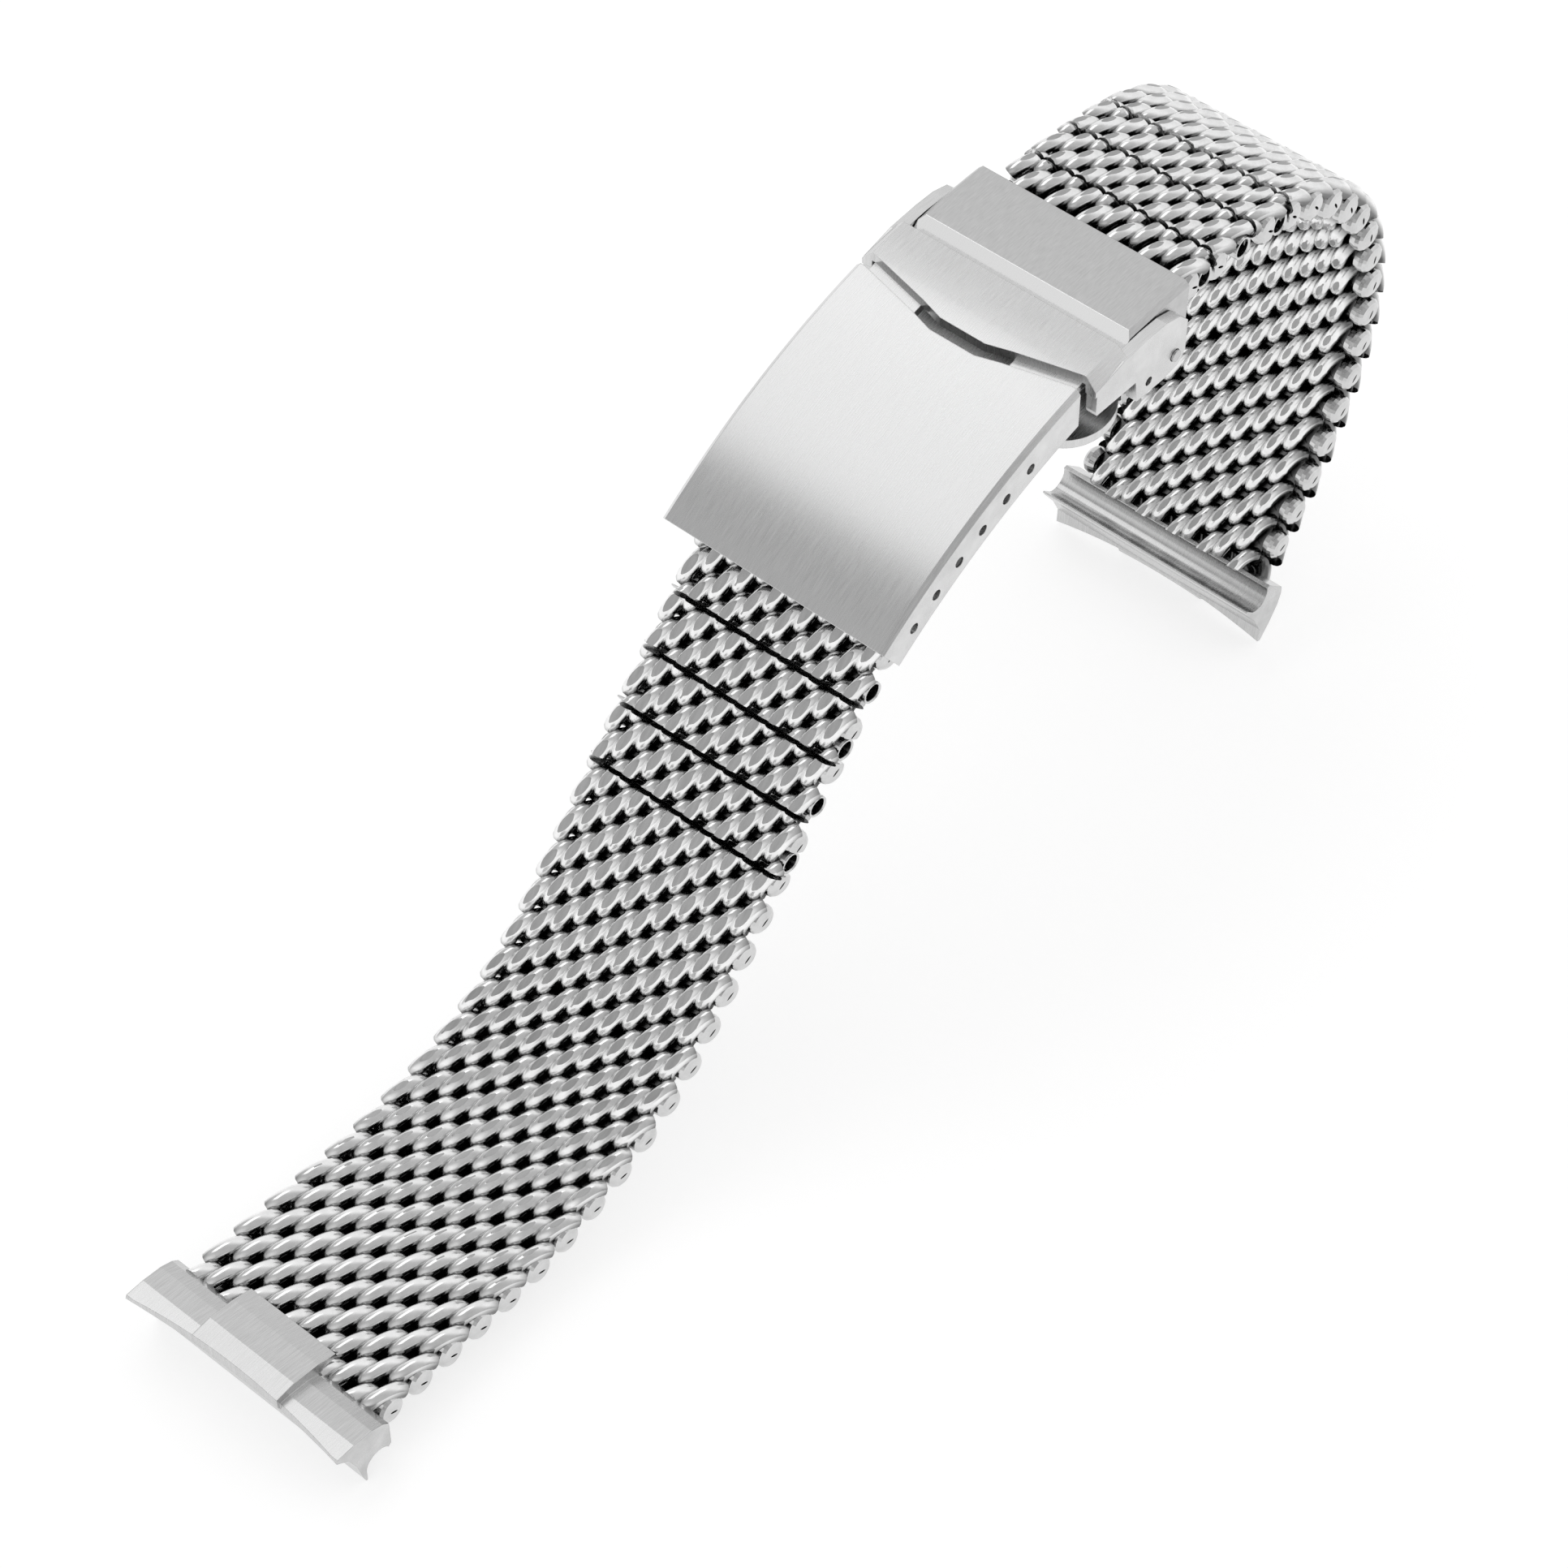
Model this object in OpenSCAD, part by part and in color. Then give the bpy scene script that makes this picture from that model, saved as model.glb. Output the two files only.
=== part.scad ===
// Wire mesh watch band with solid end links, removable mesh links and a folding clasp.
// The band lies closed: the front strap is on the floor and rises to the clasp, and the
// rear strap goes over the back and down to its end link. X runs across the band.

/* [Mesh] */
// Width of the mesh at the end links
mesh_w_lug = 20; // [16:0.5:24]
// Width of the mesh at the clasp
mesh_w_clasp = 18.4; // [15:0.2:18.4]
// Thickness of the mesh over its crowns
mesh_t = 3.9; // [3.6:0.1:4.2]
// Distance along the band from one coil to the next
coil_step = 1.62; // [1.6:0.01:1.7]
// Turns in each coil
turns = 6; // [4:1:6]
// Diameter of the mesh wire
wire_d = 1.16; // [1:0.02:1.2]
// Lean of the wire on the faces of the mesh
lean = 18; // [10:1:22]
// Coils in each full mesh section
section_rows = 11; // [8:1:14]
// Coils in the last section of the rear strap
last_rows = 10; // [8:1:14]

/* [Links] */
// Coils in a removable link
link_rows = 3; // [3:1:4]
// Diameter of the link pins
pin_d = 0.9; // [0.7:0.05:1]
// Outside diameter of the hinge knuckles
knuckle_d = 2.6; // [2.2:0.1:2.7]

/* [End links] */
// Width between the lugs of the watch case
lug_w = 22; // [18:0.5:26]
// Width of the raised block in the middle of an end link
block_w = 8.8; // [6:0.2:12]
// Height of the raised block above the wings
block_rise = 1.1; // [0.6:0.1:1.4]
// Diameter of the groove for the watch's spring bar
groove_d = 2.5; // [1.8:0.1:2.8]

/* [Clasp] */
// Outer radius of the clasp's curve
clasp_r = 60; // [55:0.5:66]
// Room between the mesh and each side wall of the clasp cover
strap_room = 0.6; // [0.4:0.1:1.2]
// Thickness of the clasp's sheet metal
sheet = 0.9; // [0.7:0.05:1]
// Thickness of the cover's side walls
wall = 1; // [0.8:0.05:1.1]
// Height of the cover's side walls
wall_h = 3.5; // [3.2:0.1:3.8]
// Adjustment holes along each side wall
holes = 6; // [4:1:6]
// Angle along the clasp from one hole to the next
hole_step = 2.93; // [2.6:0.01:3]
// Diameter of the adjustment holes
hole_d = 0.92; // [0.8:0.02:1]
// Thickness of the safety catch's arms
arm_t = 1; // [0.8:0.1:1.6]
// How far the raised end block lies within the cover on each side
block_step = 0.6; // [0.3:0.1:0.6]
// Room between the folding blades and each side wall of the cover
blade_room = 1.6; // [1.3:0.1:2.4]
// Thickness of the folding blades
blade_t = 0.8; // [0.6:0.05:0.9]
// Diameter of the blade hinge pins
hinge_pin_d = 1.1; // [0.9:0.05:1.2]

/* [Fits] */
// Radial clearance of a pin in its bore
run = 0.06; // [0.03:0.01:0.08]
// Gap between pieces that move past each other
gap = 0.15; // [0.1:0.01:0.2]
// Width of the slit between two pieces of mesh, half way through
slit = 0.12; // [0.08:0.02:0.2]
// Largest bend of the strap at one joint, in degrees
bend_max = 12; // [8:1:14]

/* [Hidden] */
// Widths that follow from the mesh at the clasp
cover_w = mesh_w_clasp + 2 * (wall + strap_room);
end_block_w = cover_w - 2 * block_step;
blade_w = cover_w - 2 * (wall + blade_room);

// Removable links in each strap, which the names below list
front_links = 3;
rear_links = 2;
$fn = 48;

// Ways along the strap
// A place on the band's middle line is [y, z, angle], and an arc is [length, turn].
function arc_step(p, run_len, turn) =
    abs(turn) < 0.001
    ? [p[0] + run_len * cos(p[2]), p[1] + run_len * sin(p[2]), p[2]]
    : let (r = run_len * 180 / (PI * turn), a = p[2] + turn)
      [p[0] + r * (sin(a) - sin(p[2])), p[1] - r * (cos(a) - cos(p[2])), a];

// Way from p along the arcs for a length s. way is 1 forwards and -1 backwards.
function walk(p, arcs, s, way, i = 0) =
    i == len(arcs) || s < 0 ? arc_step(p, way * s, 0)
    : s <= arcs[i][0] ? arc_step(p, way * s, way * arcs[i][1] * s / arcs[i][0])
    : walk(arc_step(p, way * arcs[i][0], way * arcs[i][1]), arcs, s - arcs[i][0], way, i + 1);

// Clasp places
// Angles on the clasp go from straight up towards the rear.
function polar(r, a) = [r * sin(a), r * cos(a)];

cover_front = -36;
cover_rear = -11.4;
first_hole = -33.1;
bar_hole = 2;
hole_drop = 2.2;
catch_front = -13.1;
catch_rear = -7.35;
block_front = -6.95;
block_rear = 1.27;
cover_hinge = polar(clasp_r - 5.35, -15.6);
blade_hinge = polar(clasp_r - 7.45, -30);
catch_pivot = polar(clasp_r - 5.53, -1.48);
rear_bar = polar(clasp_r - 3.15, -2.13);
front_bar = polar(clasp_r - hole_drop, first_hole + bar_hole * hole_step);

// Middle lines of the two straps, from the bars in the clasp to the end links
front_arcs = [[25.14, 0], [2.4, -2.5], [13.46, 3], [14, 29], [14, 22], [12, -2]];
rear_arcs = [[8.1, -1], [9.72, -10], [9, -29], [10, -32], [13, -34], [13, -20], [6.84, -4]];
front_angle = 49.5;
rear_angle = -1.4;

// Coils counted from the clasp's bar, and where each section of the strap ends
front_tail_rows = 8;
rear_tail_rows = 5;
front_rows = front_tail_rows + front_links * link_rows + 3 * section_rows;
rear_rows = rear_tail_rows + rear_links * link_rows + 2 * section_rows + last_rows;

// The front end link lies flat on the floor, which fixes the height of the clasp.
link_drop = 3.15;
front_foot = walk([front_bar[0], front_bar[1], front_angle], front_arcs,
                  front_rows * coil_step, -1);
clasp_y = 32.55;
clasp_z = link_drop - front_foot[1];
front_start = [front_bar[0] + clasp_y, front_bar[1] + clasp_z, front_angle];
rear_start = [rear_bar[0] + clasp_y, rear_bar[1] + clasp_z, rear_angle];

function front_at(s) = walk(front_start, front_arcs, s, -1);
function rear_at(s) = walk(rear_start, rear_arcs, s, 1);

// A strap is "front" or "rear". at gives its middle line, and forward its sense.
function at(strap, s) = strap == "front" ? front_at(s) : rear_at(s);
function sense(strap) = strap == "front" ? -1 : 1;
function rows_of(strap) = strap == "front" ? front_rows : rear_rows;
function width_at(strap, s) =
    mesh_w_clasp + (mesh_w_lug - mesh_w_clasp) * s / (rows_of(strap) * coil_step);
function pitch_at(strap, s) = width_at(strap, s) / (turns + 0.1);

// Middle of each crown of a coil. Every second coil is half a pitch across.
function crown_x(strap, row, s) =
    let (p = pitch_at(strap, s), side = row % 2 == 0 ? -1 : 1)
    [for (k = [0:turns - 1]) (k - (turns - 1) / 2) * p + side * p / 4];

wire_r = wire_d / 2;
crown_z = mesh_t / 2 - wire_r;
crown_half = 0.8;
core_t = 2.1;
edge_in = 0.5;
disc_r = 1.56;
disc_t = 1.2;
pin_r = pin_d / 2;
knuckle_r = knuckle_d / 2;
knuckle_half = 0.185;
core_back = knuckle_r + gap;
tube_r = 1.1;

steel = [0.78, 0.78, 0.79];
dark_steel = [0.62, 0.62, 0.64];

// Puts a child, drawn with +Y along the band and +Z outwards, at a place on the strap
module place(p) {
    translate([0, p[0], p[1]]) rotate([p[2], 0, 0]) children();
}

// Extrudes an outline of [y, z] points across the band
module across(x0, x1) {
    translate([x0, 0, 0]) rotate([90, 0, 90]) linear_extrude(x1 - x0) children();
}

// Cylinder across the band
module rod(x0, x1, r) {
    translate([x0, 0, 0]) rotate([0, 90, 0]) cylinder(r = r, h = x1 - x0);
}

// One crown: the stretch of wire that shows on a face, with its ends turned in
module crown(slant) {
    rotate([0, 0, slant]) rotate([90, 0, 0]) rotate_extrude()
        polygon([
            [0, -crown_half - wire_r], [0.6 * wire_r, -crown_half - wire_r],
            [wire_r, -crown_half], [wire_r, crown_half],
            [0.6 * wire_r, crown_half + wire_r], [0, crown_half + wire_r]
        ]);
}

// Crowns of one coil on both faces, and the round end of its wire at one edge
module coil(strap, row) {
    s = (row + 0.5) * coil_step;
    side = row % 2 == 0 ? -1 : 1;
    edge = side * width_at(strap, s) / 2;
    place(at(strap, s)) {
        for (x = crown_x(strap, row, s)) {
            translate([x, 0, crown_z]) crown(-lean);
            translate([x, 0, -crown_z]) crown(lean);
        }
        rod(min(edge, edge - side * disc_t), max(edge, edge - side * disc_t), disc_r);
    }
}

// Solid middle of a stretch of mesh, which stands for the wires inside it
module core(strap, s0, s1, half_t = core_t / 2) {
    n = max(1, round((s1 - s0) / coil_step / 2));
    stops = [for (i = [0:n]) s0 + (s1 - s0) * i / n];
    w = width_at(strap, (s0 + s1) / 2) / 2 - edge_in;
    outer = [for (s = stops) let (p = at(strap, s))
        [p[0] - half_t * sin(p[2]), p[1] + half_t * cos(p[2])]];
    inner = [for (i = [n:-1:0]) let (p = at(strap, stops[i]))
        [p[0] + half_t * sin(p[2]), p[1] - half_t * cos(p[2])]];
    across(-w, w) polygon(concat(outer, inner));
}

// Hinge knuckles on the coil next to a joint. toward is 1 where the joint lies farther
// along the strap than the coil, and -1 where it lies nearer the clasp.
module knuckles(strap, row, joint, toward) {
    half = knuckle_half * pitch_at(strap, joint);
    web = sense(strap) * toward;
    place(at(strap, joint)) for (x = crown_x(strap, row, joint)) {
        rod(x - half, x + half, knuckle_r);
        translate([x - half, web > 0 ? -core_back - gap : 0, -0.9])
            cube([2 * half, core_back + gap, 1.8]);
    }
}

// Room for the other piece of mesh at a joint: a slit that widens towards both faces, and
// a ring at the edge where the other piece's last knuckle turns
module joint_room(strap, row, joint, toward) {
    side = row % 2 == 0 ? 1 : -1;
    edge = width_at(strap, joint) / 2;
    wide = slit / 2 + mesh_t * tan(bend_max / 2);
    place(at(strap, joint)) {
        mirror([0, sense(strap) * toward > 0 ? 0 : 1, 0]) across(-edge - 1, edge + 1)
            polygon([
                [-slit / 2, 0], [-wide, mesh_t], [mesh_t, mesh_t],
                [mesh_t, -mesh_t], [-wide, -mesh_t]
            ]);
        translate([side * edge, 0, 0])
            rod(-disc_t - 0.1, disc_t + 0.1, knuckle_r + 0.7 * gap);
    }
}

// Rod or bore across the strap at a joint
module joint_rod(strap, joint, r, past = 0) {
    w = width_at(strap, joint) / 2 - edge_in + past;
    place(at(strap, joint)) rod(-w, w, r);
}

// Stretch of mesh from one coil to another, with knuckles at each end that has a joint.
// The end nearer the clasp holds bores, and the other end holds a rod or more bores.
module mesh(strap, row0, row1, near_joint = true, far_joint = true, far_rod = true) {
    s0 = row0 * coil_step;
    s1 = row1 * coil_step;
    difference() {
        union() {
            core(strap, near_joint ? s0 + core_back : s0, far_joint ? s1 - core_back : s1 + weld);
            difference() {
                for (row = [row0:row1 - 1]) coil(strap, row);
                if (near_joint) joint_room(strap, row0, s0, -1);
                if (far_joint) joint_room(strap, row1 - 1, s1, 1);
            }
            if (near_joint) knuckles(strap, row0, s0, -1);
            if (far_joint) knuckles(strap, row1 - 1, s1, 1);
        }
        if (near_joint) joint_rod(strap, s0, pin_r + run, 1);
        if (far_joint && !far_rod) joint_rod(strap, s1, pin_r + run, 1);
    }
    if (far_joint && far_rod) joint_rod(strap, s1, pin_r);
}

// First coil of each piece of a strap, counted from its bar
function first_of(strap, piece) =
    let (tail = strap == "front" ? front_tail_rows : rear_tail_rows,
         links = strap == "front" ? front_links : rear_links)
    piece <= links ? tail + piece * link_rows
    : tail + links * link_rows + (piece - links) * section_rows;

// Mesh end that hangs on a bar in the clasp: a bored tube, a thin tail and full coils
module end_mesh(strap, full_from, bore_r) {
    joint_row = first_of(strap, 0);
    s1 = joint_row * coil_step;
    s_full = full_from * coil_step;
    tail_w = width_at(strap, 0) / 2 - 0.7;
    way = sense(strap);
    difference() {
        union() {
            core(strap, s_full, s1 - core_back);
            difference() {
                for (row = [full_from:joint_row - 1]) coil(strap, row);
                joint_room(strap, joint_row - 1, s1, 1);
            }
            knuckles(strap, joint_row - 1, s1, 1);
            place(at(strap, 0)) {
                rod(-tail_w, tail_w, tube_r);
                translate([-tail_w, way > 0 ? 0 : -s_full - 0.4, -0.75])
                    cube([2 * tail_w, s_full + 0.4, 1.5]);
            }
        }
        joint_rod(strap, s1, pin_r + run, 1);
        place(at(strap, 0)) rod(-tail_w - 1, tail_w + 1, bore_r);
    }
}

// Removable link pin
module link_pin(strap, row) {
    joint_rod(strap, row * coil_step, pin_r);
}

// End link, drawn with +Y towards its tip, +Z outwards and its middle line at the origin
tip = 6.05;
tip_z = 2.2;
weld = 0.7;
groove_y = 2.1;
groove_z = -2.1;
case_r = 59;
case_y = 5;

module end_link_side() {
    polygon([
        [weld, -1.25], [3, -link_drop], [3.5, -link_drop], [3.7, -2.6], [4.2, -0.4],
        [4.9, 1.3], [tip, tip_z], [tip - 0.15, tip_z + 0.35],
        [4.2, 2.55], [2.4, 2.3], [1.3, 1.85], [weld, 1.3]
    ]);
}

module end_block_side() {
    polygon([
        [-weld, 2.05], [-weld + 0.1, 1.35 + block_rise], [1.2, 1.95 + block_rise],
        [3.6, 2.3 + block_rise], [tip - 0.35, 2.1 + block_rise],
        [tip - 0.2, 1.9 + block_rise], [4.9, 1.3], [2, 0], [1, 1], [weld + 0.05, 2.05]
    ]);
}

// Hollow front edge that follows the round watch case
module case_cut(back) {
    translate([0, case_y + back + case_r, -1]) cylinder(r = case_r, h = 8, $fn = 240);
}

module end_link(strap) {
    end = at(strap, rows_of(strap) * coil_step);
    place(end) rotate([0, 0, strap == "front" ? 180 : 0]) difference() {
        union() {
            difference() {
                across(-lug_w / 2, lug_w / 2) end_link_side();
                case_cut(0);
            }
            difference() {
                across(-block_w / 2, block_w / 2) end_block_side();
                case_cut(0.3);
            }
        }
        translate([0, groove_y, groove_z]) rod(-lug_w / 2 - 1, lug_w / 2 + 1, groove_d / 2);
        translate([-lug_w / 2 - 1, groove_y - groove_d / 2, groove_z - groove_d])
            cube([lug_w + 2, groove_d, groove_d]);
    }
}

// Clasp pieces are drawn round the centre of the clasp's curve.
module clasp_place() {
    translate([0, clasp_y, clasp_z]) children();
}

// Turns an outline of [radius, x] points round the clasp's centre between two angles
module swept(a0, a1) {
    rotate([90, 0, 90]) rotate([0, 0, 90 - a1]) rotate_extrude(angle = a1 - a0, $fn = 180)
        children();
}

// Outline of a sheet between two radii and two angles
module band_side(r0, r1, a0, a1) {
    intersection() {
        difference() {
            circle(r1, $fn = 180);
            circle(r0, $fn = 180);
        }
        polygon([[0, 0], polar(1.2 * r1, a0), polar(1.2 * r1, a1)]);
    }
}

bevel = 0.4;
v_side = [cover_w / 2 - 0.8, -12.65];
v_knee = [4.3, -13.9];
v_tip = -14.6;

// Everything behind the V, seen from above, moved rearwards by back
module v_area(back) {
    polygon([
        [-cover_w, v_side[1] + back], [-v_side[0], v_side[1] + back],
        [-v_knee[0], v_knee[1] + back], [-v_knee[0] / 2, v_tip + 0.12 + back],
        [v_knee[0] / 2, v_tip + 0.12 + back],
        [v_knee[0], v_knee[1] + back], [v_side[0], v_side[1] + back],
        [cover_w, v_side[1] + back], [cover_w, cover_w], [-cover_w, cover_w]
    ]);
}

ear_t = 1.4;
ear_in = 0.5;
ear_x = blade_w / 2 - ear_in - ear_t;
keeper_a = -22;
stud_lean = 31.6;

// Channel section of the cover, with a bevel along each top edge
module cover_section() {
    r = clasp_r;
    w = cover_w / 2;
    polygon([
        [r, -w + bevel], [r, w - bevel], [r - bevel, w], [r - wall_h, w],
        [r - wall_h, w - wall], [r - sheet, w - wall], [r - sheet, -w + wall],
        [r - wall_h, -w + wall], [r - wall_h, -w], [r - bevel, -w]
    ]);
}

ledge_t = 0.6;
ledge_out = 1.9;
nail_w = 9;

// Step below the V edge that the catch closes on, open in the middle for a finger nail
module ledge() {
    w = cover_w / 2 - wall + 0.2;
    intersection() {
        across(-w, w) band_side(clasp_r - sheet - ledge_t, clasp_r - sheet + 0.1, -20, catch_rear);
        linear_extrude(clasp_r + 5) difference() {
            v_area(-1);
            v_area(ledge_out);
            translate([-nail_w / 2, v_tip - 0.3]) square([nail_w, 6]);
        }
    }
}

// Ear that hangs from the cover and carries the hinge to the inner blade
module ear_side() {
    polygon([
        polar(clasp_r - 0.5 * sheet, -18.6), polar(clasp_r - 0.5 * sheet, -15.4),
        [cover_hinge[0] + 1.1, cover_hinge[1] + 0.7], [cover_hinge[0] + 0.9, cover_hinge[1] - 0.9],
        [cover_hinge[0] - 1.1, cover_hinge[1] - 0.5]
    ]);
    translate(cover_hinge) circle(1.3);
}

module clasp_cover() color(steel) clasp_place() {
    difference() {
        union() {
            difference() {
                swept(cover_front, cover_rear) cover_section();
                linear_extrude(clasp_r + 5) v_area(0);
            }
            ledge();
            for (side = [-1, 1]) {
                x = side * (ear_x + ear_t / 2);
                across(x - ear_t / 2, x + ear_t / 2) ear_side();
            }
            across(-ear_x - 0.2, ear_x + 0.2)
                band_side(clasp_r - 3.9, clasp_r - 3.3, keeper_a - 2.5, keeper_a + 4.5);
        }
        for (i = [0:holes - 1]) {
            p = polar(clasp_r - hole_drop, first_hole + i * hole_step);
            translate([0, p[0], p[1]]) rod(-cover_w, cover_w, hole_d / 2);
        }
        translate([0, cover_hinge[0], cover_hinge[1]])
            rod(-ear_x - 2 * ear_t, ear_x + 2 * ear_t, hinge_pin_d / 2 + run);
        stud_place() cylinder(r = 1.38, h = 5);
    }
}

module stud_place() {
    p = polar(clasp_r - 7, keeper_a);
    translate([0, p[0], p[1]]) rotate([stud_lean, 0, 0]) children();
}

// Blade: a curved strip
module blade_strip(r1, a0, a1) {
    across(-blade_w / 2, blade_w / 2) band_side(r1 - blade_t, r1, a0, a1);
}

inner_r = clasp_r - 5.6;
outer_r = clasp_r - 7.2;
curl_r = 1.2;
tab_a = -9.3;
tab_r = 3.7;
tab_in = 0.2;
tab_x = cover_w / 2 - tab_in - tab_r;

module inner_blade() color(steel) clasp_place() difference() {
    union() {
        blade_strip(inner_r, -28.2, -17.9);
        translate([0, cover_hinge[0], cover_hinge[1]])
            rod(-ear_x + gap, ear_x - gap, curl_r);
        across(-ear_x + gap, ear_x - gap)
            band_side(inner_r - blade_t, inner_r, -18.1, -15.7);
        translate([0, blade_hinge[0], blade_hinge[1]])
            rod(-blade_w / 6 + gap, blade_w / 6 - gap, curl_r);
        across(-blade_w / 6 + gap, blade_w / 6 - gap)
            polygon([
                polar(inner_r - 0.1, -28.4), polar(inner_r - 0.1, -27.6),
                polar(inner_r - blade_t + 0.1, -27.6), polar(outer_r - 0.1, -29.4),
                blade_hinge, polar(outer_r + 0.6, -30.4)
            ]);
    }
    translate([0, cover_hinge[0], cover_hinge[1]]) rod(-blade_w, blade_w, hinge_pin_d / 2 + run);
    translate([0, blade_hinge[0], blade_hinge[1]]) rod(-blade_w, blade_w, hinge_pin_d / 2 + run);
    across(-2.2, 2.2) polygon([
        polar(inner_r - 2, keeper_a - 4), polar(inner_r + 2, keeper_a - 4),
        polar(inner_r + 2, keeper_a + 2.5), polar(inner_r - 2, keeper_a + 2.5)
    ]);
}

module outer_blade() color(steel) clasp_place() difference() {
    union() {
        blade_strip(outer_r, -28.3, block_rear - 1);
        intersection() {
            across(-clasp_r, clasp_r) band_side(outer_r - blade_t, outer_r, -20, 0);
            for (side = [-1, 1]) translate([side * tab_x, polar(outer_r, tab_a)[0], 0])
                cylinder(r = tab_r, h = clasp_r);
        }
        for (side = [-1, 1]) {
            x0 = side > 0 ? blade_w / 6 + gap : -blade_w / 2;
            x1 = x0 + blade_w / 3 - gap;
            translate([0, blade_hinge[0], blade_hinge[1]]) rod(x0, x1, curl_r);
            across(x0, x1) band_side(outer_r - blade_t, outer_r, -29.6, -28.1);
        }
    }
    translate([0, blade_hinge[0], blade_hinge[1]]) rod(-blade_w, blade_w, hinge_pin_d / 2 + run);
    stud_place() cylinder(r = 0.9, h = 20, center = true);
}

// Rivet with a round head, which snaps up through the keeper under the cover
module latch_stud() color(dark_steel) clasp_place() stud_place() {
    translate([0, 0, -1.2]) cylinder(r = 0.9, h = 4.2);
    translate([0, 0, 2.9]) cylinder(r1 = 1.25, r2 = 0.9, h = 0.9);
}

module cover_hinge_pin() color(dark_steel) clasp_place()
    translate([0, cover_hinge[0], cover_hinge[1]])
        rod(-ear_x - ear_t, ear_x + ear_t, hinge_pin_d / 2);

module blade_hinge_pin() color(dark_steel) clasp_place()
    translate([0, blade_hinge[0], blade_hinge[1]])
        rod(-blade_w / 2, blade_w / 2, hinge_pin_d / 2);

// Raised block over the rear strap's end
block_top = 0.6;
block_wall = 0.85;

module block_section() {
    r = clasp_r - block_top;
    w = end_block_w / 2;
    foot = outer_r - 0.2;
    polygon([
        [r, -w + bevel], [r, w - bevel], [r - bevel, w], [foot, w],
        [foot, w - block_wall], [r - sheet, w - block_wall],
        [r - sheet, -w + block_wall], [foot, -w + block_wall], [foot, -w],
        [r - bevel, -w]
    ]);
}

module end_block() color(steel) clasp_place() difference() {
    union() {
        swept(block_front, block_rear) block_section();
        across(-end_block_w / 2 + 0.4, end_block_w / 2 - 0.4)
            band_side(outer_r, outer_r + 1, block_front + 0.6, block_rear - 1);
    }
    bevel_cut();
    translate([0, rear_bar[0], rear_bar[1]]) rod(-end_block_w, end_block_w, 0.4 + run);
    for (side = [-1, 1])
        translate([side * (end_block_w / 2 - 0.6), catch_pivot[0], catch_pivot[1]])
        rod(-1, 1, 0.5);
}

// Polished slope along the block's front top edge
module bevel_cut() {
    p = polar(clasp_r - block_top, block_front);
    translate([0, p[0], p[1]]) rotate([-45, 0, 0])
        translate([-end_block_w, -3, -0.3]) cube([2 * end_block_w, 4, 4]);
}

arm_in = end_block_w / 2 + 0.1;
catch_w = 2 * (arm_in + arm_t);

module catch_arm_side() {
    p = catch_pivot;
    polygon([
        polar(clasp_r - 1.08, -10.96), polar(clasp_r - 0.86, -7.77),
        polar(clasp_r - 0.99, -4.86), polar(clasp_r - 1.18, -2.83),
        polar(clasp_r - 1.69, -1.18), polar(clasp_r - 2.8, -0.1), [p[0] + 1.3, p[1] - 0.3], [p[0] + 0.5, p[1] - 1.3],
        [p[0] - 1.4, p[1] - 1.6], [p[0] - 4.6, p[1] - 1.5],
        [p[0] - 4.9, p[1] + 0.7], [p[0] - 9.7, p[1] + 0.8], [p[0] - 9.8, p[1] + 1.2]
    ]);
}

module safety_catch() color(steel) clasp_place() difference() {
    union() {
        intersection() {
            difference() {
                swept(catch_front - 2, catch_rear) catch_section();
                catch_relief();
            }
            linear_extrude(clasp_r + 5) v_area(catch_back);
        }
        for (side = [-1, 1]) {
            x0 = side > 0 ? arm_in : -catch_w / 2;
            across(x0, x0 + catch_w / 2 - arm_in) catch_arm_side();
        }
    }
    translate([0, catch_pivot[0], catch_pivot[1]]) rod(-catch_w, catch_w, 0.5 + run);
    translate([0, catch_pivot[0] - 3.2, catch_pivot[1] - 0.4]) rod(-catch_w, catch_w, 0.4);
}

// Hollow under the catch's front lip that clears the cover's ledge
catch_back = 1.25;
lip_t = 0.8;

module catch_relief() intersection() {
    across(-arm_in, arm_in) band_side(clasp_r - 3, clasp_r - lip_t, -20, 0);
    linear_extrude(clasp_r + 5) difference() {
        v_area(0);
        v_area(ledge_out + 1.5 * gap);
    }
}

module catch_section() {
    r = clasp_r;
    w = catch_w / 2;
    polygon([
        [r, -w + 1], [r, w - 1], [r - 1.1, w], [r - 1.6, w], [r - 1.6, -w], [r - 1.1, -w]
    ]);
}

// Two short pins that the safety catch turns on
module catch_pivot_pins() color(dark_steel) clasp_place()
    for (side = [0, 1]) mirror([side, 0, 0]) translate([0, catch_pivot[0], catch_pivot[1]])
        rod(end_block_w / 2 - block_wall - 0.35, catch_w / 2 + 0.2, 0.5);

// Spring bar that holds the front strap in a pair of adjustment holes
bar_r = 0.75;
bar_tip_r = hole_d / 2 - run;

module adjuster_tube() color(dark_steel) clasp_place()
    translate([0, front_bar[0], front_bar[1]]) difference() {
        rod(-cover_w / 2 + wall + 0.15, cover_w / 2 - wall - 0.15, bar_r);
        for (side = [-1, 1]) translate([side * (cover_w / 2 - 3.3), 0, 0])
            rod(-3, 3, bar_tip_r + run);
    }

module adjuster_tip(side) color(dark_steel) clasp_place()
    translate([side * (cover_w / 2 - 2.1), front_bar[0], front_bar[1]]) rod(-2, 2, bar_tip_r);

// Bar through the rear strap's tube and the end block's walls
module rear_strap_bar() color(dark_steel) clasp_place()
    translate([0, rear_bar[0], rear_bar[1]]) {
        rod(-end_block_w / 2 + block_wall + 0.1, end_block_w / 2 - block_wall - 0.1, bar_r);
        rod(-end_block_w / 2, end_block_w / 2, 0.4);
    }

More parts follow.
